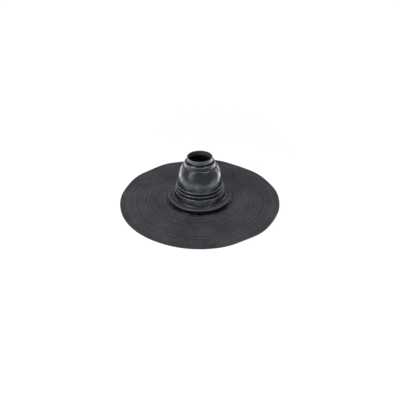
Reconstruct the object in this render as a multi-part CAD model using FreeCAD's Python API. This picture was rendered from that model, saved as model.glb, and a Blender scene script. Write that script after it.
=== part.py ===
import FreeCAD, Part
import math
import os

# Pipe flashing boot: one soft rubber moulding. A thin round apron carries a raised foot ring, and a
# hollow boot rises from the ring: leaning cuff, stepped ledges, bell, collar and neck lip.
# Axis along +Z through the origin, underside of the apron on z = 0, all sizes in millimetres.

# apron
apron_radius = 200.0          # outer radius of the sheet
sheet_thickness = 2.0         # thickness of the sheet
lift_start_share = 0.45       # share of the way from ring to rim where the sheet may leave the deck
rim_lifts = [                 # soft waves of the rim: middle (degrees), half width (degrees), height
    (5.0, 16.0, 2.6),
    (35.0, 13.0, 1.8),
    (77.0, 21.0, 5.0),
    (120.0, 16.0, 3.0),
    (150.0, 18.0, 3.3),
    (180.0, 15.0, 2.2),
    (240.0, 24.0, 0.8),
    (300.0, 15.0, 4.2),
    (334.0, 19.0, 4.6),
]
rim_stations = 60             # control points round the rim

# foot ring and cuff
ring_radius = 78.7            # outside of the foot ring
ring_height = 12.5            # ring top above the sheet
cuff_foot_radius = 65.6       # outside of the cuff where it meets the ring
cuff_lean = 3.8               # how far the cuff leans in over its height
cuff_height = 16.6            # cuff edge above the ring top

# stepped ledges above the cuff
step_count = 2                # full steps between the cuff edge and the bell's own ledge
step_tread = 2.25             # width of each ledge
step_rise = 8.3               # height of each step

# bell
bell_height = 44.5            # from the top ledge to the start of the shoulder
bell_lean = 10.1              # how far the bell narrows over that height
bell_bulge = 1.6              # how far the bell's side stands out from a straight cone
shoulder_round = 6.6          # radius of the shoulder
shoulder_turn = 70.6          # angle the shoulder turns through, degrees

# collar and neck
collar_height = 9.4           # face of the collar above the shoulder, to the corner of its round
collar_lean = 2.0             # how far the collar's face leans in over its height
collar_round = 2.5            # radius of the collar's upper edge
collar_slope = 30.0           # fall of the collar's top below level, degrees
neck_radius = 31.0            # outside of the lip where it leaves the collar
lip_height = 9.15             # height of the lip band
lip_taper = 0.2               # how much smaller the lip is at its top

# walls and small edges
wall = 3.0                    # wall of the boot and the ring
lip_wall = 2.4                # wall of the lip at its top
edge_bevel = 0.6              # broken edges of ledges, cuff and ring
lip_bevel = 0.5               # broken edges of the mouth, inside and out
foot_web = 1.8                # sloped web in the corner between cuff and ring top
overlap = 10.0                # how far a cutting shape runs past the face it opens

# derived heights and radii
ring_top = sheet_thickness + ring_height
cuff_top = ring_top + cuff_height
cuff_top_radius = cuff_foot_radius - cuff_lean
ledge_top = cuff_top + step_count * step_rise
bell_foot_radius = cuff_top_radius - (step_count + 1) * step_tread
bell_top = ledge_top + bell_height
bell_top_radius = bell_foot_radius - bell_lean
turn = math.radians(shoulder_turn)
slope = math.radians(collar_slope)
shoulder_centre = bell_top - shoulder_round * math.cos(turn)
shoulder_top = shoulder_centre + shoulder_round
collar_radius = bell_top_radius - shoulder_round * math.sin(turn)
collar_edge = shoulder_top + collar_height
collar_edge_radius = collar_radius - collar_lean
lip_foot = collar_edge + (collar_edge_radius - neck_radius) * math.tan(slope)
lip_top = lip_foot + lip_height
lip_top_radius = neck_radius - lip_taper
bore_radius = lip_top_radius - lip_wall
lift_start = ring_radius + lift_start_share * (apron_radius - ring_radius)


def point(radius, height):
    """A point of the half section, in the XZ plane."""
    return FreeCAD.Vector(radius, 0, height)


def corner(radius, height, bevel=0.0, rounding=0.0):
    """A corner of a half section: sharp, bevelled or rounded."""
    return {"at": point(radius, height), "bevel": bevel, "rounding": rounding}


def bow(radius, height):
    """The middle of an arc that joins the corners on either side of it."""
    return {"at": point(radius, height), "bow": True}


def corner_cut(before, item, after):
    """Start and end of a corner's bevel or rounding, and the edge between them."""
    here = item["at"]
    if not (item["bevel"] or item["rounding"]):
        return here, here, None
    to_before = (before - here).normalize()
    to_after = (after - here).normalize()
    half = to_before.getAngle(to_after) / 2
    reach = item["bevel"] or item["rounding"] / math.tan(half)
    start = here + to_before * reach
    end = here + to_after * reach
    if item["bevel"]:
        return start, end, Part.makeLine(start, end)
    bisector = (to_before + to_after).normalize()
    middle = here + bisector * (item["rounding"] / math.sin(half) - item["rounding"])
    return start, end, Part.Arc(start, middle, end).toShape()


def turned(items):
    """Solid of revolution about Z of a closed half section, given as corners and bows."""
    count = len(items)
    cuts = {}
    edges = []
    for i, item in enumerate(items):
        if "bow" not in item:
            cuts[i] = corner_cut(items[i - 1]["at"], item, items[(i + 1) % count]["at"])
            if cuts[i][2]:
                edges.append(cuts[i][2])
    for i, item in enumerate(items):
        after = (i + 1) % count
        if "bow" in item:
            edges.append(Part.Arc(cuts[i - 1][1], item["at"], cuts[after][0]).toShape())
        elif "bow" not in items[after]:
            edges.append(Part.makeLine(cuts[i][1], cuts[after][0]))
    face = Part.Face(Part.Wire(Part.__sortEdges__(edges)))
    return face.revolve(FreeCAD.Vector(0, 0, 0), FreeCAD.Vector(0, 0, 1), 360)


def bell_side(inset):
    """Middle of the bell's curved side, moved in by the wall for the inner face."""
    top = point(bell_top_radius, bell_top)
    foot = point(bell_foot_radius, ledge_top)
    side = (foot - top).normalize()
    outward = FreeCAD.Vector(-side.z, 0, side.x)
    middle = (top + foot) * 0.5 + outward * (bell_bulge - inset)
    return bow(middle.x, middle.z)


def shoulder_at(inset, angle):
    """A point of the shoulder's round, this far round from its top."""
    reach = shoulder_round - inset
    return collar_radius + reach * math.sin(angle), shoulder_centre + reach * math.cos(angle)


def ledges(inset, bevel):
    """Corners of the ledges, from the bell's foot down to the cuff's edge."""
    corners = []
    radius = bell_foot_radius - inset
    height = ledge_top - inset
    for step in range(step_count + 1):
        corners.append(corner(radius, height))
        radius += step_tread
        corners.append(corner(radius, height, bevel=bevel))
        height -= step_rise
    return corners


def outer_body():
    """All that lies inside the outer face of ring and boot, with its foot sunk into the sheet."""
    foot = sheet_thickness / 2
    section = [
        corner(0, foot),
        corner(0, lip_top),
        corner(lip_top_radius, lip_top, bevel=lip_bevel),
        corner(neck_radius, lip_foot),
        corner(collar_edge_radius, collar_edge, rounding=collar_round),
        corner(collar_radius, shoulder_top),
        bow(*shoulder_at(0, turn / 2)),
        corner(bell_top_radius, bell_top),
        bell_side(0),
    ]
    section += ledges(0, edge_bevel)
    section += [
        corner(cuff_foot_radius, ring_top, bevel=foot_web),
        corner(ring_radius, ring_top, bevel=edge_bevel),
        corner(ring_radius, foot),
    ]
    return turned(section)


def inner_space():
    """The hollow under the wall, running out past the deck and the mouth, as a cutting shape."""
    drop = wall * (1 - math.sin(slope)) / math.cos(slope)
    inside_edge_radius = collar_edge_radius - wall
    inside_edge = collar_edge - drop
    bore_foot = inside_edge + (inside_edge_radius - bore_radius) * math.tan(slope)
    section = [
        corner(0, -overlap),
        corner(0, lip_top + overlap),
        corner(bore_radius + lip_bevel, lip_top + overlap),
        corner(bore_radius + lip_bevel, lip_top),
        corner(bore_radius, lip_top - lip_bevel),
        corner(bore_radius, bore_foot),
        corner(inside_edge_radius, inside_edge),
        corner(collar_radius - wall, shoulder_top - wall),
        corner(*shoulder_at(wall, 0)),
        corner(*shoulder_at(wall, turn)),
        bell_side(wall),
    ]
    section += ledges(wall, 0)
    section += [
        corner(cuff_foot_radius - wall, ring_top - wall),
        corner(ring_radius - wall, ring_top - wall),
        corner(ring_radius - wall, -overlap),
    ]
    return turned(section)


def rim_lift(angle):
    """Height by which the rim stands off the deck at an angle in degrees."""
    height = 0.0
    for middle, half_width, peak in rim_lifts:
        off = (angle - middle + 180) % 360 - 180
        if abs(off) < half_width:
            height += peak * math.cos(math.pi / 2 * off / half_width) ** 2
    return height


def wavy_face(level):
    """Outer zone of one side of the sheet: level at its inner edge, waved at the rim."""
    step = 2 * math.pi / rim_stations
    swell = 3 / (2 + math.cos(step))
    poles = []
    for i in range(rim_stations):
        angle = i * step
        lift = rim_lift(math.degrees(angle))
        row = []
        for share, height in ((0.0, 0.0), (0.5, 0.0), (1.0, lift)):
            radius = swell * (lift_start + share * (apron_radius - lift_start))
            row.append(FreeCAD.Vector(radius * math.cos(angle), radius * math.sin(angle), level + height))
        poles.append(row)
    around = [float(i) for i in range(rim_stations + 1)]
    surface = Part.BSplineSurface()
    surface.buildFromPolesMultsKnots(
        poles, [1] * len(around), [3, 3], around, [0.0, 1.0], True, False, 3, 2)
    return surface.toShape()


def closed_edges(face):
    """The face's inner and outer boundary edges."""
    rings = [edge for edge in face.Edges if edge.isClosed()]
    rings.sort(key=lambda edge: edge.BoundBox.XLength)
    return rings[0], rings[-1]


def apron():
    """The sheet as one solid disc: flat in the middle, waved towards the rim."""
    top = wavy_face(sheet_thickness)
    bottom = wavy_face(0.0)
    top_inner, top_outer = closed_edges(top)
    bottom_inner, bottom_outer = closed_edges(bottom)
    flat_top = Part.Face(Part.Wire([top_inner]))
    flat_bottom = Part.Face(Part.Wire([bottom_inner]))
    rim = Part.makeRuledSurface(bottom_outer, top_outer)
    shell = Part.makeShell([top, bottom, flat_top, flat_bottom, rim])
    shell.sewShape()
    return Part.makeSolid(shell)


def flashing_boot():
    """The whole moulding."""
    body = apron().fuse(outer_body())
    body = body.cut(inner_space())
    return body.removeSplitter()


os.makedirs("parts", exist_ok=True)
flashing_boot().exportStep("parts/flashing_boot.step")
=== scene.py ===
"""Pipe flashing boot: one black rubber moulding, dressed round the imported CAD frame.

The moulding is one closed mesh, turned about Z from a half section in millimetres. Its apron
carries fine concentric ribs and the soft waves of the rim. The rest is stage: a white floor, a
dark cloth overhead, the lamps and the camera, all in metres.
"""
import math

import bpy
import numpy as np
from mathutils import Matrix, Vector


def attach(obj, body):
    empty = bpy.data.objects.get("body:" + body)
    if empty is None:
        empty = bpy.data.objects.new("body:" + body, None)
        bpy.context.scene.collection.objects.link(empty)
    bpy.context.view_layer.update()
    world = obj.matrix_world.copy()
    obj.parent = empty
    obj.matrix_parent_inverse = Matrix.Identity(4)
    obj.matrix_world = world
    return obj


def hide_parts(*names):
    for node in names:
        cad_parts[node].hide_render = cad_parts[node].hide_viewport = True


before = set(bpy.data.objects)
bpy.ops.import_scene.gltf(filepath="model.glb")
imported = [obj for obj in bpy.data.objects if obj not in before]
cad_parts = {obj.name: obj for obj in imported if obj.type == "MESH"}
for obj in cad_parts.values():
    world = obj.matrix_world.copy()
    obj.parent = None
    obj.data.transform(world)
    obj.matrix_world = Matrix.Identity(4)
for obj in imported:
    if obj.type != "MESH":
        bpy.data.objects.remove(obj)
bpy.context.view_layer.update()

MM = 0.001

# ---- sizes of the moulding, in millimetres --------------------------------------------------

# foot ring, cuff and ledges
RING_RADIUS = 78.7
RING_TOP = 14.5
CUFF_FOOT_RADIUS = 65.6
CUFF_TOP_RADIUS = 61.8
CUFF_TOP = 31.1
STEP_COUNT = 2            # full steps between the cuff's edge and the bell's own ledge
STEP_TREAD = 2.25
STEP_RISE = 8.3
LEDGE_TOP = CUFF_TOP + STEP_COUNT * STEP_RISE
BELL_FOOT_RADIUS = CUFF_TOP_RADIUS - (STEP_COUNT + 1) * STEP_TREAD

# apron
APRON_RADIUS = 199.95
SHEET = 2.0               # thickness
RIM_LIFTS = (             # middle (degrees), half width (degrees), height
    (5.0, 16.0, 2.6),
    (35.0, 13.0, 1.8),
    (77.0, 21.0, 5.0),
    (120.0, 16.0, 3.0),
    (150.0, 18.0, 3.3),
    (180.0, 15.0, 2.2),
    (240.0, 24.0, 0.8),
    (300.0, 15.0, 4.2),
    (334.0, 19.0, 4.6),
)
RIM_SMOOTHING = 6.0       # degrees over which neighbouring lifts blend
LIFT_START_SHARE = 0.45   # share of the way from ring to rim where the sheet may leave the deck
LIFT_START = RING_RADIUS + LIFT_START_SHARE * (APRON_RADIUS - RING_RADIUS)
FOOT_DIP = 1.2            # how far the sheet thins towards the ring's foot
FOOT_DIP_WIDTH = 2.6      # how far out from the ring's wall it stays that thin

# ribs of the apron
RIB_PITCH = 2.4
RIB_HEIGHT = 0.45         # crest above groove
RIB_ABOVE = 0.15          # crest above the sheet's nominal face
RIB_FROM = 84.8           # where the first rib starts and, inwards, the sheet starts to thin
RIB_COUNT = 46

# bell and shoulder
BELL_TOP = 94.5
BELL_TOP_RADIUS = 42.25
BELL_FOOT_LEAN = math.radians(5.5)    # how far the side leans in from upright at its foot
BELL_FOOT_PULL = 21.0     # how far the side keeps its lean above the foot
BELL_TOP_PULL = 14.5      # how far it keeps the shoulder's lean below the shoulder
COLLAR_RADIUS = 38.72     # where the collar's face meets the shoulder's top
SHOULDER_TURN = math.radians(56.0)    # angle that the shoulder's round turns through
SHOULDER_ROUND = (BELL_TOP_RADIUS - COLLAR_RADIUS) / math.sin(SHOULDER_TURN)
SHOULDER_CENTRE = BELL_TOP - SHOULDER_ROUND * math.cos(SHOULDER_TURN)
SHOULDER_TOP = SHOULDER_CENTRE + SHOULDER_ROUND

# collar, neck and lip
COLLAR_EDGE = 106.0       # height of the collar's upper edge
COLLAR_LEAN_IN = 2.0      # how far the collar's face leans in on its way up
COLLAR_EDGE_RADIUS = COLLAR_RADIUS - COLLAR_LEAN_IN
COLLAR_SLOPE = math.radians(30.0)     # fall of the collar's top below level
COLLAR_LEAN = math.atan2(COLLAR_RADIUS - COLLAR_EDGE_RADIUS, COLLAR_EDGE - SHOULDER_TOP)
COLLAR_GROOVE = 1.2       # width of the groove round the collar's foot
COLLAR_GROOVE_DEPTH = 0.5
NECK_RADIUS = 31.0
LIP_FOOT = COLLAR_EDGE + (COLLAR_EDGE_RADIUS - NECK_RADIUS) * math.tan(COLLAR_SLOPE)
LIP_TOP = 118.46
LIP_TOP_RADIUS = 30.8
LIP_GROOVE = 1.4          # width of the groove under the lip
LIP_GROOVE_DEPTH = 0.9
BORE_RADIUS = 28.4
WALL = 3.0

# small roundings
RIM_ROUND = 0.5           # edges of the apron's rim
DIP_ROUND = 0.6           # outer corner of the thinned sheet
FOOT_ROUND = 1.4          # hollow corner between ring wall and apron
RING_ROUND = 1.5
WEB_ROUND = 3.5           # hollow corner between cuff and ring top
LEDGE_ROUND = 1.4
STEP_HOLLOW = 0.6         # hollow corners of the ledges
GROOVE_ROUND = 0.3
COLLAR_ROUND = 1.7
LIP_ROUND = 0.75          # both edges of the mouth
INSIDE_ROUND = 0.6        # the bore's foot and the corners of the hollow
INSIDE_COLLAR_ROUND = 0.5
INSIDE_LEDGE_ROUND = 0.3
UNDER_ROUND = 0.4         # edge of the hollow in the underside

# share of painted highlight on rounded edges, from 0 to 1: a lighter colour where lamps would
# glint
EDGE_HIGHLIGHT = 0.5
COLLAR_HIGHLIGHT = 1.0
LIP_HIGHLIGHT = 0.8
SHOULDER_HIGHLIGHT_STEP = 3.2  # mesh steps below the shoulder's top where its painted highlight is strongest
SHOULDER_HIGHLIGHT_SPREAD = 1.6

# mesh
TURNS = 288               # columns round the axis
RIB_STEPS = 4             # rings of a rib
BELL_STEPS = 12
SHOULDER_STEPS = 7
UNDERSIDE_STEPS = 7       # rings below the waved zone
UNDERSIDE_FROM = 95.0     # innermost ring of the underside's face
MOUTH_FACES = 3           # faces of the bore's upper edge that are as glossy as the lip
LEVEL_WITHIN = 0.1        # how near the ring's top, and how level, a face of that top is


# ---- the half section -----------------------------------------------------------------------

def edge(radius, height, rounding, steps, painted_highlight=EDGE_HIGHLIGHT):
    """A rounded corner that stands out, with a painted highlight: its colour is made lighter.
    """
    return radius, height, rounding, steps, painted_highlight


def hollow(radius, height, rounding, steps):
    """A rounded corner that turns inwards, or one without a painted highlight."""
    return radius, height, rounding, steps, 0.0


def sharp(points):
    """Plain corners at these points."""
    return [(p[0], p[1], 0, 0, 0.0) for p in points]


def rounded(corners):
    """Points (radius, height, painted highlight) of an open run of corners, each turned into an
    arc.
    """
    points = []
    last = len(corners) - 1
    for i, (radius, height, rounding, steps, painted_highlight) in enumerate(corners):
        here = Vector((radius, height))
        if i in (0, last) or not rounding:
            points.append((radius, height, painted_highlight))
            continue
        back = (Vector(corners[i - 1][:2]) - here).normalized()
        ahead = (Vector(corners[i + 1][:2]) - here).normalized()
        half = back.angle(ahead) / 2
        bisector = (back + ahead).normalized()
        centre = here + bisector * (rounding / math.sin(half))
        start = here + back * (rounding / math.tan(half)) - centre
        end = here + ahead * (rounding / math.tan(half)) - centre
        sweep = start.angle(end)
        for k in range(steps + 1):
            share = k / steps
            reach = start * math.sin((1 - share) * sweep) + end * math.sin(share * sweep)
            here_highlight = painted_highlight if 0 < k < steps else 0.0
            points.append((*(centre + reach / math.sin(sweep)), here_highlight))
    return points


def bell_side(inset):
    """Points of the bell's side from its top down to its foot, moved in by the inset.

    The side is one cubic curve, near straight above the foot and turning in below the top.
    """
    foot = Vector((BELL_FOOT_RADIUS, LEDGE_TOP))
    top = Vector((BELL_TOP_RADIUS, BELL_TOP))
    low = foot + Vector((-math.sin(BELL_FOOT_LEAN), math.cos(BELL_FOOT_LEAN))) * BELL_FOOT_PULL
    high = top - Vector((-math.cos(SHOULDER_TURN), math.sin(SHOULDER_TURN))) * BELL_TOP_PULL
    points = []
    for k in range(BELL_STEPS + 1):
        t = k / BELL_STEPS
        u = 1 - t
        here = top * u ** 3 + high * 3 * u * u * t + low * 3 * u * t * t + foot * t ** 3
        along = (high - top) * u * u + (low - high) * 2 * u * t + (foot - low) * t * t
        outward = Vector((-along.y, along.x)).normalized()
        here -= outward * inset
        points.append((here.x, here.y))
    return points


def shoulder(inset, steps):
    """Points round the shoulder, from its top down to just above the bell."""
    reach = SHOULDER_ROUND - inset
    points = []
    for k in range(steps):
        turn = SHOULDER_TURN * k / steps
        radius = COLLAR_RADIUS + reach * math.sin(turn)
        points.append((radius, SHOULDER_CENTRE + reach * math.cos(turn)))
    return points


def shoulder_highlight(step):
    """How strong the painted highlight is at a point of the shoulder's round."""
    return max(0.0, 1 - abs(step - SHOULDER_HIGHLIGHT_STEP) / SHOULDER_HIGHLIGHT_SPREAD)


def ledges(inset, edge_round, hollow_round, steps):
    """Corners of the ledges, from the bell's foot down to the cuff's edge."""
    corners = []
    radius = BELL_FOOT_RADIUS - inset
    height = LEDGE_TOP - inset
    for _ in range(STEP_COUNT + 1):
        corners.append(hollow(radius, height, hollow_round, steps))
        radius += STEP_TREAD
        corners.append(edge(radius, height, edge_round, steps + 1))
        height -= STEP_RISE
    return corners


def boot_outside():
    """From the apron's face up the ring, cuff, ledges and bell to the mouth's outer edge."""
    corners = sharp([(RIB_FROM, SHEET)])
    corners += [
        hollow(RING_RADIUS + FOOT_DIP_WIDTH, SHEET - FOOT_DIP, DIP_ROUND, steps=2),
        hollow(RING_RADIUS, SHEET - FOOT_DIP, FOOT_ROUND, steps=6),
        edge(RING_RADIUS, RING_TOP, RING_ROUND, steps=5),
        hollow(CUFF_FOOT_RADIUS, RING_TOP, WEB_ROUND, steps=6),
    ]
    steps_up = ledges(0, LEDGE_ROUND, STEP_HOLLOW, steps=3)[::-1]
    bell = bell_side(0)[::-1]
    corners += steps_up[:-1]
    corners.append(hollow(*bell[0], STEP_HOLLOW, steps=3))
    corners += sharp(bell[1:])
    crown = shoulder(0, SHOULDER_STEPS)
    # the shoulder's round gets a painted highlight, strongest part way down
    for k in range(SHOULDER_STEPS - 1, 0, -1):
        corners.append(edge(*crown[k], 0, steps=0, painted_highlight=shoulder_highlight(k)))
    corners += [
        hollow(COLLAR_RADIUS - COLLAR_GROOVE_DEPTH, SHOULDER_TOP - COLLAR_GROOVE_DEPTH,
               GROOVE_ROUND, steps=1),
        hollow(COLLAR_RADIUS - COLLAR_GROOVE * math.tan(COLLAR_LEAN),
               SHOULDER_TOP + COLLAR_GROOVE, GROOVE_ROUND, steps=1),
        edge(COLLAR_EDGE_RADIUS, COLLAR_EDGE, COLLAR_ROUND, steps=6, painted_highlight=COLLAR_HIGHLIGHT),
        hollow(NECK_RADIUS + LIP_GROOVE, LIP_FOOT - LIP_GROOVE * math.tan(COLLAR_SLOPE),
               GROOVE_ROUND, steps=1),
        hollow(NECK_RADIUS - LIP_GROOVE_DEPTH / 2, LIP_FOOT - LIP_GROOVE_DEPTH,
               GROOVE_ROUND, steps=1),
        hollow(NECK_RADIUS, LIP_FOOT + LIP_GROOVE / 2, GROOVE_ROUND, steps=1),
        edge(LIP_TOP_RADIUS, LIP_TOP, LIP_ROUND, steps=4, painted_highlight=LIP_HIGHLIGHT),
    ]
    return corners


def boot_inside():
    """From the mouth down the bore and the hollow to the underside."""
    drop = WALL * (1 - math.sin(COLLAR_SLOPE)) / math.cos(COLLAR_SLOPE)
    inside_edge_radius = COLLAR_EDGE_RADIUS - WALL
    inside_edge = COLLAR_EDGE - drop
    bore_foot = inside_edge + (inside_edge_radius - BORE_RADIUS) * math.tan(COLLAR_SLOPE)
    corners = [
        edge(BORE_RADIUS, LIP_TOP, LIP_ROUND, steps=4),
        hollow(BORE_RADIUS, bore_foot, INSIDE_ROUND, steps=3),
        hollow(inside_edge_radius, inside_edge, INSIDE_ROUND, steps=3),
        hollow(COLLAR_RADIUS - WALL, SHOULDER_TOP - WALL, INSIDE_COLLAR_ROUND, steps=1),
    ]
    corners += sharp(shoulder(WALL, SHOULDER_STEPS // 2))
    corners += sharp(bell_side(WALL)[:-1])
    corners += ledges(WALL, INSIDE_LEDGE_ROUND, INSIDE_LEDGE_ROUND, steps=1)
    corners += [
        hollow(CUFF_FOOT_RADIUS - WALL, RING_TOP - WALL, INSIDE_ROUND, steps=2),
        hollow(RING_RADIUS - WALL, RING_TOP - WALL, INSIDE_ROUND, steps=2),
        hollow(RING_RADIUS - WALL, 0.0, UNDER_ROUND, steps=2),
    ]
    return corners


def apron_ribs():
    """Points of the ribbed face, from the rim inwards."""
    points = []
    for k in range(RIB_COUNT * RIB_STEPS, 0, -1):
        swing = (1 - math.cos(2 * math.pi * k / RIB_STEPS)) / 2
        height = SHEET + RIB_ABOVE - RIB_HEIGHT * (1 - swing)
        points.append((RIB_FROM + RIB_PITCH * k / RIB_STEPS, height))
    return points


def whole_section():
    """The closed half section, underside first, so that the faces look outwards."""
    under = [(UNDERSIDE_FROM, 0.0)]
    for k in range(UNDERSIDE_STEPS):
        under.append((LIFT_START + (APRON_RADIUS - LIFT_START) * k / UNDERSIDE_STEPS, 0.0))
    corners = sharp(under)
    corners += [
        hollow(APRON_RADIUS, 0.0, RIM_ROUND, steps=3),
        hollow(APRON_RADIUS, SHEET, RIM_ROUND, steps=3),
    ]
    corners += sharp(apron_ribs())
    corners += boot_outside()
    corners += boot_inside()
    corners += sharp(under[:1])
    return rounded(corners)[:-1]


# ---- the mesh -------------------------------------------------------------------------------

def rim_lift(angle):
    """How far the rim stands off the deck at an angle in degrees."""
    height = 0.0
    for middle, half_width, peak in RIM_LIFTS:
        off = (angle - middle + 180) % 360 - 180
        if abs(off) < half_width:
            height += peak * math.cos(math.pi / 2 * off / half_width) ** 2
    return height


def smooth_lift(angle):
    """The rim's lift, eased between neighbours."""
    sides = rim_lift(angle - RIM_SMOOTHING) + rim_lift(angle + RIM_SMOOTHING)
    return (sides + 4 * rim_lift(angle)) / 6


def moulding_grid(section):
    """Vertices of the turned section as an array of turn x ring x 3, in millimetres."""
    radius, height = section[:, 0], section[:, 1]
    share = np.clip((radius - LIFT_START) / (APRON_RADIUS - LIFT_START), 0, 1) ** 2
    angles = np.arange(TURNS) * 2 * math.pi / TURNS
    lifts = np.array([smooth_lift(math.degrees(a)) for a in angles])
    grid = np.empty((TURNS, len(section), 3))
    grid[:, :, 0] = np.cos(angles)[:, None] * radius
    grid[:, :, 1] = np.sin(angles)[:, None] * radius
    grid[:, :, 2] = height + lifts[:, None] * share
    return grid


def closed_mesh(name, grid):
    """A mesh closed both ways from a grid, with normals weighted by face area."""
    turns, rings = grid.shape[:2]
    here = np.arange(turns * rings).reshape(turns, rings)
    next_turn = np.roll(here, -1, axis=0)
    next_both = np.roll(next_turn, -1, axis=1)
    next_ring = np.roll(here, -1, axis=1)
    faces = np.stack([here, next_turn, next_both, next_ring], axis=-1).reshape(-1, 4)
    points = grid.reshape(-1, 3)
    mesh = bpy.data.meshes.new(name)
    mesh.from_pydata((points * MM).tolist(), [], faces.tolist())
    mesh.polygons.foreach_set("use_smooth", [True] * len(faces))
    corners = points[faces]
    areas = np.cross(corners[:, 2] - corners[:, 0], corners[:, 3] - corners[:, 1])
    normals = np.zeros_like(points)
    for k in range(4):
        np.add.at(normals, faces[:, k], areas)
    normals /= np.linalg.norm(normals, axis=1)[:, None]
    mesh.normals_split_custom_set_from_vertices(normals.tolist())
    mesh.update()
    return mesh


# ---- materials ------------------------------------------------------------------------------

# noise scales are per metre of the object
CLOUD_SCALE = 14.0        # soft clouds in the colour
FLECK_SCALE = 260.0       # fine flecks of the apron
BAND_SCALE = 210.0        # fine lines that run round the apron
BAND_SHARE = 0.6          # share of the lines beside the flecks
FINE_SHARE = 0.3          # share of flecks and lines in the apron's colour
STREAK_SCALE = 60.0       # changes of roughness, drawn out upwards
STREAK_STRETCH = (1, 1, 0.35)
SWELL_SCALE = 40.0        # uneven skin that bends the reflections
SWELL_STRETCH = (1, 1, 0.6)
SWELL_DEPTH = 0.004       # metres
GRAIN_STRENGTH = 0.5
NOISE_LOW, NOISE_HIGH = 0.3, 0.7      # where most values of a noise lie
FINE_LOW, FINE_HIGH = 0.4, 0.6        # and where those of two mixed noises lie
NECK_BLEND = 0.5          # millimetres above and below the edge of the painted light at the neck
LIP_REFLECTION_FROM = LIP_FOOT - 1          # outside, where the lip's painted reflection starts
BORE_LIGHT_FROM = LIP_FOOT - 4.5       # inside, where the bore's painted light starts
COOL_WHITE = (0.87, 0.94, 1.0, 1)


def nodes_of(material):
    """A material's node tree, its nodes and its shader."""
    material.use_nodes = True
    tree = material.node_tree
    return tree, tree.nodes, tree.nodes["Principled BSDF"]


def noise(tree, coords, scale, detail, stretch=(1, 1, 1)):
    """Noise over object coordinates, stretched per axis."""
    mapping = tree.nodes.new("ShaderNodeMapping")
    mapping.inputs["Scale"].default_value = stretch
    texture = tree.nodes.new("ShaderNodeTexNoise")
    texture.inputs["Scale"].default_value = scale
    texture.inputs["Detail"].default_value = detail
    tree.links.new(coords, mapping.inputs["Vector"])
    tree.links.new(mapping.outputs["Vector"], texture.inputs["Vector"])
    return texture.outputs["Fac"]


def length_of(tree, vector):
    """The length of a vector."""
    node = tree.nodes.new("ShaderNodeVectorMath")
    node.operation = "LENGTH"
    tree.links.new(vector, node.inputs[0])
    return node.outputs["Value"]


def turned_bands(tree, coords, scale):
    """Noise that changes only with the distance from the axis."""
    flat = tree.nodes.new("ShaderNodeVectorMath")
    flat.operation = "MULTIPLY"
    flat.inputs[1].default_value = (1, 1, 0)
    tree.links.new(coords, flat.inputs[0])
    texture = tree.nodes.new("ShaderNodeTexNoise")
    texture.noise_dimensions = "1D"
    texture.inputs["Scale"].default_value = scale
    texture.inputs["Detail"].default_value = 4.0
    texture.inputs["Roughness"].default_value = 0.6
    tree.links.new(length_of(tree, flat.outputs["Vector"]), texture.inputs["W"])
    return texture.outputs["Fac"]


def spread(tree, value, low, high, start=NOISE_LOW, end=NOISE_HIGH):
    """A value between start and end, spread over the range from low to high."""
    node = tree.nodes.new("ShaderNodeMapRange")
    node.inputs["From Min"].default_value = start
    node.inputs["From Max"].default_value = end
    node.inputs["To Min"].default_value = low
    node.inputs["To Max"].default_value = high
    tree.links.new(value, node.inputs["Value"])
    return node.outputs["Result"]


def above(tree, coords, low, high):
    """0 below one height and 1 above another, in millimetres."""
    split = tree.nodes.new("ShaderNodeSeparateXYZ")
    tree.links.new(coords, split.inputs[0])
    node = tree.nodes.new("ShaderNodeMapRange")
    node.interpolation_type = "SMOOTHSTEP"
    node.inputs["From Min"].default_value = low * MM
    node.inputs["From Max"].default_value = high * MM
    tree.links.new(split.outputs["Z"], node.inputs["Value"])
    return node.outputs["Result"]


def painted_highlight_share(tree):
    """The share of painted highlight, kept on the mesh."""
    node = tree.nodes.new("ShaderNodeAttribute")
    node.attribute_name = "painted_highlight"
    return node.outputs["Fac"]


def blended(tree, first, second, share):
    """Two values mixed, with this share of the second."""
    node = tree.nodes.new("ShaderNodeMix")
    node.inputs["Factor"].default_value = share
    tree.links.new(first, node.inputs["A"])
    tree.links.new(second, node.inputs["B"])
    return node.outputs["Result"]


def shade(tree, value, dark, light):
    """A colour between two shades."""
    node = tree.nodes.new("ShaderNodeValToRGB")
    ends = node.color_ramp.elements
    ends[0].position, ends[1].position = NOISE_LOW, NOISE_HIGH
    ends[0].color, ends[1].color = (*dark, 1), (*light, 1)
    tree.links.new(value, node.inputs["Fac"])
    return node.outputs["Color"]


def mixed(tree, share, first, second):
    """A colour mixed towards a second one."""
    node = tree.nodes.new("ShaderNodeMix")
    node.data_type = "RGBA"
    tree.links.new(share, node.inputs["Factor"])
    tree.links.new(first, node.inputs["A"])
    node.inputs["B"].default_value = (*second, 1)
    return node.outputs["Result"]


def bump(tree, value, distance, strength, before=None):
    """A normal bent by a height, on top of the one before."""
    node = tree.nodes.new("ShaderNodeBump")
    node.inputs["Distance"].default_value = distance
    node.inputs["Strength"].default_value = strength
    tree.links.new(value, node.inputs["Height"])
    if before:
        tree.links.new(before, node.inputs["Normal"])
    return node.outputs["Normal"]


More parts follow.
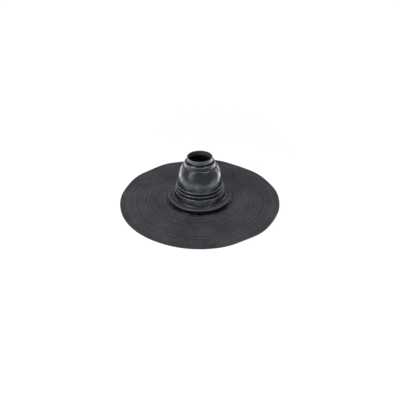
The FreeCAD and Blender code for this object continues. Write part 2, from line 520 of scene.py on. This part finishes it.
def rubber(name, dark, light, rough, specular, grain, grain_depth,
           painted_neck=None, painted_neck_from=None, highlight_colour=None, wave=0.05, turned=False):
    """Black rubber: colour that varies softly, a roughness that varies, and a fine skin.

    dark, light   the two shades of the colour
    rough         lowest and highest roughness
    grain         scale of the skin's fine bumps, and grain_depth their depth in metres
    painted_neck  lighter colour above painted_neck_from, a height in millimetres: painted light
    at the neck highlight_colour  lighter colour painted on the edges as a highlight
    wave          strength of the uneven skin
    turned        whether fine flecks and lines run round the axis
    """
    material = bpy.data.materials.new(name)
    tree, nodes, shader = nodes_of(material)
    coords = nodes.new("ShaderNodeTexCoord").outputs["Object"]
    cloud = noise(tree, coords, CLOUD_SCALE, detail=4.0)
    if turned:
        flecks = noise(tree, coords, FLECK_SCALE, detail=2.0)
        fine = blended(tree, flecks, turned_bands(tree, coords, BAND_SCALE), BAND_SHARE)
        fine = spread(tree, fine, 0.0, 1.0, start=FINE_LOW, end=FINE_HIGH)
        cloud = blended(tree, cloud, fine, FINE_SHARE)
    colour = shade(tree, cloud, dark, light)
    # painted light: the neck is made lighter above a height
    if painted_neck:
        at_neck = above(tree, coords, painted_neck_from - NECK_BLEND, painted_neck_from + NECK_BLEND)
        colour = mixed(tree, at_neck, colour, painted_neck)
    # painted highlight: rounded edges mixed towards a lighter colour
    if highlight_colour:
        colour = mixed(tree, painted_highlight_share(tree), colour, highlight_colour)
    tree.links.new(colour, shader.inputs["Base Color"])
    streak = noise(tree, coords, STREAK_SCALE, detail=4.0, stretch=STREAK_STRETCH)
    tree.links.new(spread(tree, streak, *rough), shader.inputs["Roughness"])
    swell = noise(tree, coords, SWELL_SCALE, detail=1.0, stretch=SWELL_STRETCH)
    skin = bump(tree, swell, SWELL_DEPTH, wave)
    fine_skin = noise(tree, coords, grain, detail=3.0)
    skin = bump(tree, fine_skin, grain_depth, GRAIN_STRENGTH, before=skin)
    tree.links.new(skin, shader.inputs["Normal"])
    shader.inputs["Specular IOR Level"].default_value = specular
    shader.inputs["Specular Tint"].default_value = COOL_WHITE
    return material


# the boot's lip is painted lighter above its foot, as a painted reflection
# the boot's rounded edges get a lighter colour as a painted highlight
boot_rubber = rubber(
    "rubber_boot", dark=(0.0035, 0.0037, 0.0045), light=(0.007, 0.0074, 0.0088),
    rough=(0.18, 0.28), specular=0.33, grain=700.0, grain_depth=0.00002,
    painted_neck=(0.0072, 0.0076, 0.0086), painted_neck_from=LIP_REFLECTION_FROM, highlight_colour=(0.14, 0.145, 0.155), wave=0.6)
apron_rubber = rubber(
    "rubber_apron", dark=(0.0178, 0.0182, 0.0205), light=(0.053, 0.0542, 0.0606),
    rough=(0.55, 0.65), specular=0.24, grain=1400.0, grain_depth=0.00006, turned=True)
# the bore's upper part is painted lighter, as painted light that comes in through the mouth
inner_rubber = rubber(
    "rubber_inside", dark=(0.009, 0.009, 0.0093), light=(0.013, 0.013, 0.0135),
    rough=(0.55, 0.65), specular=0.25, grain=700.0, grain_depth=0.00004,
    painted_neck=(0.047, 0.047, 0.047), painted_neck_from=BORE_LIGHT_FROM)
RUBBERS = (boot_rubber, apron_rubber, inner_rubber)
BOOT, APRON, INSIDE = range(len(RUBBERS))


# ---- the piece ------------------------------------------------------------------------------

section = np.array(whole_section())
mesh = closed_mesh("flashing_boot_moulding", moulding_grid(section))
moulding = bpy.data.objects.new("flashing_boot_moulding", mesh)
bpy.context.scene.collection.objects.link(moulding)
for material in RUBBERS:
    mesh.materials.append(material)
# share of painted highlight at each ring, kept on the mesh for the boot's material
painted_highlight = mesh.attributes.new("painted_highlight", "FLOAT", "POINT")
painted_highlight.data.foreach_set("value", np.tile(section[:, 2], TURNS))

# one material for each ring of faces
middle = (section + np.roll(section, -1, axis=0)) / 2
rise = np.abs(section[:, 1] - np.roll(section[:, 1], -1))
on_apron = middle[:, 0] > RING_RADIUS + FOOT_DIP_WIDTH
# painted light: the ring's level top gets the apron's lighter rubber, so it reads lit from
# above, while its upright wall keeps the black boot rubber
on_ring_top = (np.abs(middle[:, 1] - RING_TOP) < LEVEL_WITHIN) & (rise < LEVEL_WITHIN)
mouth = np.flatnonzero(section[:, 1] == section[:, 1].max())[-1]
below_mouth = np.arange(len(section)) > mouth + MOUTH_FACES
inside = below_mouth & (middle[:, 0] < RING_RADIUS)
kind = np.where(on_apron | on_ring_top, APRON, np.where(inside, INSIDE, BOOT))
mesh.polygons.foreach_set("material_index", np.tile(kind.astype(np.int32), TURNS))
mesh.update()

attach(moulding, "root")
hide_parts("flashing_boot")


# ---- floor, cloth and world, in metres ------------------------------------------------------

FLOOR_HALF = 12.0
FLOOR_GLOW_SHARE = 0.8    # share of the glow in what is seen of the floor
OPEN_FLOOR_GLOW = 1.07    # reached at the apron's rim, from nothing under the boot
FAR_FLOOR_GLOW = 0.2      # added far off, where the lamps light the floor less
FAR_FLOOR_START, FAR_FLOOR_END = 0.4, 1.4
CLOTH_HALF = 1.6
CLOTH_RISE = 1.45
ROOM_LIGHT = 0.12


def combined(tree, operation, first, second):
    """Two values put together. The second may be a plain number."""
    node = tree.nodes.new("ShaderNodeMath")
    node.operation = operation
    tree.links.new(first, node.inputs[0])
    if isinstance(second, float):
        node.inputs[1].default_value = second
    else:
        tree.links.new(second, node.inputs[1])
    return node.outputs[0]


def seen_white(tree, plain, glow, share):
    """A shader with a share of white glow, in what the camera and reflections see of it."""
    path = tree.nodes.new("ShaderNodeLightPath").outputs
    seen = combined(tree, "MAXIMUM", path["Is Camera Ray"], path["Is Glossy Ray"])
    seen = combined(tree, "MAXIMUM", seen, path["Is Transmission Ray"])
    mix = tree.nodes.new("ShaderNodeMixShader")
    tree.links.new(combined(tree, "MULTIPLY", seen, share), mix.inputs["Fac"])
    tree.links.new(plain, mix.inputs[1])
    tree.links.new(glow, mix.inputs[2])
    return mix.outputs["Shader"]


def level_square(name, half, height, facing_up):
    """A level square about the axis."""
    corners = [(-half, -half), (half, -half), (half, half), (-half, half)]
    order = (0, 1, 2, 3) if facing_up else (0, 3, 2, 1)
    square_mesh = bpy.data.meshes.new(name)
    square_mesh.from_pydata([(x, y, height) for x, y in corners], [], [order])
    square = bpy.data.objects.new(name, square_mesh)
    bpy.context.scene.collection.objects.link(square)
    return square


floor = level_square("floor", FLOOR_HALF, 0.0, facing_up=True)
paper = bpy.data.materials.new("white_floor")
tree, nodes, shader = nodes_of(paper)
shader.inputs["Base Color"].default_value = (0.95, 0.95, 0.95, 1)
shader.inputs["Roughness"].default_value = 1.0
shader.inputs["Specular IOR Level"].default_value = 0.0
glow = nodes.new("ShaderNodeEmission")
distance = length_of(tree, nodes.new("ShaderNodeTexCoord").outputs["Object"])
open_floor = spread(
    tree, distance, 0.0, OPEN_FLOOR_GLOW, start=RING_RADIUS * MM, end=APRON_RADIUS * MM)
far_floor = spread(
    tree, distance, 0.0, FAR_FLOOR_GLOW, start=FAR_FLOOR_START, end=FAR_FLOOR_END)
tree.links.new(combined(tree, "ADD", open_floor, far_floor), glow.inputs["Strength"])
seen_floor = seen_white(
    tree, shader.outputs["BSDF"], glow.outputs["Emission"], FLOOR_GLOW_SHARE)
tree.links.new(seen_floor, nodes["Material Output"].inputs["Surface"])
floor.data.materials.append(paper)

# a dark cloth over the set, out of the camera's sight, that keeps the upper faces black
cloth = level_square("ceiling_cloth", CLOTH_HALF, CLOTH_RISE, facing_up=False)
cloth.visible_camera = False
black = bpy.data.materials.new("black_cloth")
tree, nodes, shader = nodes_of(black)
shader.inputs["Base Color"].default_value = (0.03, 0.03, 0.03, 1)
shader.inputs["Roughness"].default_value = 1.0
cloth.data.materials.append(black)

# a dim room that is seen as white
world = bpy.context.scene.world or bpy.data.worlds.new("studio")
bpy.context.scene.world = world
world.use_nodes = True
tree = world.node_tree
tree.nodes.clear()
room = tree.nodes.new("ShaderNodeBackground")
room.inputs["Strength"].default_value = ROOM_LIGHT
white = tree.nodes.new("ShaderNodeBackground")
white.inputs["Strength"].default_value = 1.0
for background in (room, white):
    background.inputs["Color"].default_value = (1, 1, 1, 1)
seen_room = seen_white(tree, room.outputs["Background"], white.outputs["Background"], 1.0)
out = tree.nodes.new("ShaderNodeOutputWorld")
tree.links.new(seen_room, out.inputs["Surface"])


# ---- lamps ----------------------------------------------------------------------------------

# turns are from -Y towards +X and rises above level, in degrees. Sizes are in metres. A lamp's
# level is the brightness of its face, where 1 renders as white.

HEART = (0.0, 0.0, 0.05)  # what the hanging boxes face
BOX_DISTANCE = 1.2        # from the heart or the axis
TABLE_RISE = 0.002

HANGING_BOXES = (         # name, turn, rise, width, height, level
    ("softbox_key", -51.0, 28.0, 0.60, 1.00, 5.4),
    ("softbox_right", 40.0, 40.0, 0.60, 0.52, 1.5),
    ("softbox_high_left", -67.0, 67.0, 0.42, 0.22, 17.5),
    ("softbox_high_right", 64.0, 67.0, 0.32, 0.20, 20.0),
    ("softbox_high_back_left", -120.0, 65.0, 0.40, 0.34, 0.2),
    ("softbox_high_back_right", 120.0, 65.0, 0.40, 0.34, 0.2),
)
STANDING_BOXES = (        # name, turn, lower edge, upper edge, width, level
    ("softbox_side_left", -109.0, 0.03, 0.45, 0.26, 2.6),
    ("softbox_side_right", 112.0, 0.03, 0.50, 0.36, 4.0),
)
TABLE_LIGHTS = (          # name, turn, near edge, far edge, width, level
    ("table_front", 0.0, 0.205, 0.55, 0.26, 2.4),
    ("table_front_left", -45.0, 0.205, 0.70, 0.34, 3.4),
    ("table_front_right", 45.0, 0.205, 0.34, 0.24, 2.2),
    ("table_left", -80.0, 0.205, 0.60, 0.36, 2.6),
    ("table_right", 80.0, 0.205, 0.50, 0.36, 3.2),
    ("table_back_left", -113.0, 0.205, 0.60, 0.18, 3.9),
    ("table_back_right", 113.0, 0.205, 0.65, 0.18, 4.6),
    ("table_far_left", -135.0, 0.30, 0.65, 0.18, 2.6),
    ("table_far_right", 135.0, 0.30, 0.65, 0.18, 1.8),
)


def facing(place, target):
    """The rotation that turns a lamp or a camera from its place to a target."""
    return (Vector(target) - Vector(place)).to_track_quat("-Z", "Y").to_euler()


def softbox(name, place, rotation, width, height, level):
    """An area lamp that the camera doesn't see."""
    lamp = bpy.data.lights.new(name, "AREA")
    lamp.shape = "RECTANGLE"
    lamp.size = width
    lamp.size_y = height
    lamp.energy = level * math.pi * width * height
    lamp_object = bpy.data.objects.new(name, lamp)
    lamp_object.location = place
    lamp_object.rotation_euler = rotation
    lamp_object.visible_camera = False
    bpy.context.scene.collection.objects.link(lamp_object)


def hanging_box(name, turn, rise, width, height, level):
    """A softbox that faces the heart of the object."""
    across, up = math.radians(turn), math.radians(rise)
    flat = BOX_DISTANCE * math.cos(up)
    place = (flat * math.sin(across), -flat * math.cos(across),
             HEART[2] + BOX_DISTANCE * math.sin(up))
    softbox(name, place, facing(place, HEART), width, height, level)


def standing_box(name, turn, low, high, width, level):
    """A softbox that stands upright and faces the axis."""
    across = math.radians(turn)
    middle = (low + high) / 2
    place = (BOX_DISTANCE * math.sin(across), -BOX_DISTANCE * math.cos(across), middle)
    softbox(name, place, facing(place, (0, 0, middle)), width, high - low, level)


def table_light(name, turn, near, far, width, level):
    """A flat light on the table that faces up, beyond the apron's rim."""
    across = math.radians(turn)
    middle = (near + far) / 2
    place = (middle * math.sin(across), -middle * math.cos(across), TABLE_RISE)
    softbox(name, place, (math.pi, 0.0, across), width, far - near, level)


for row in HANGING_BOXES:
    hanging_box(*row)
for row in STANDING_BOXES:
    standing_box(*row)
for row in TABLE_LIGHTS:
    table_light(*row)


# ---- camera ---------------------------------------------------------------------------------

CAMERA_PLACE = (0.0005, -0.8349, 0.5461)
CAMERA_TARGET = (0.0005, 0.0, -0.0065)

camera_data = bpy.data.cameras.new("camera")
camera_data.lens = 35.24
camera_data.sensor_width = 36.0
camera_data.clip_start = 0.01
camera = bpy.data.objects.new("camera", camera_data)
camera.location = CAMERA_PLACE
camera.rotation_euler = facing(CAMERA_PLACE, CAMERA_TARGET)
bpy.context.scene.collection.objects.link(camera)
bpy.context.scene.camera = camera
bpy.context.scene.view_settings.view_transform = "Standard"
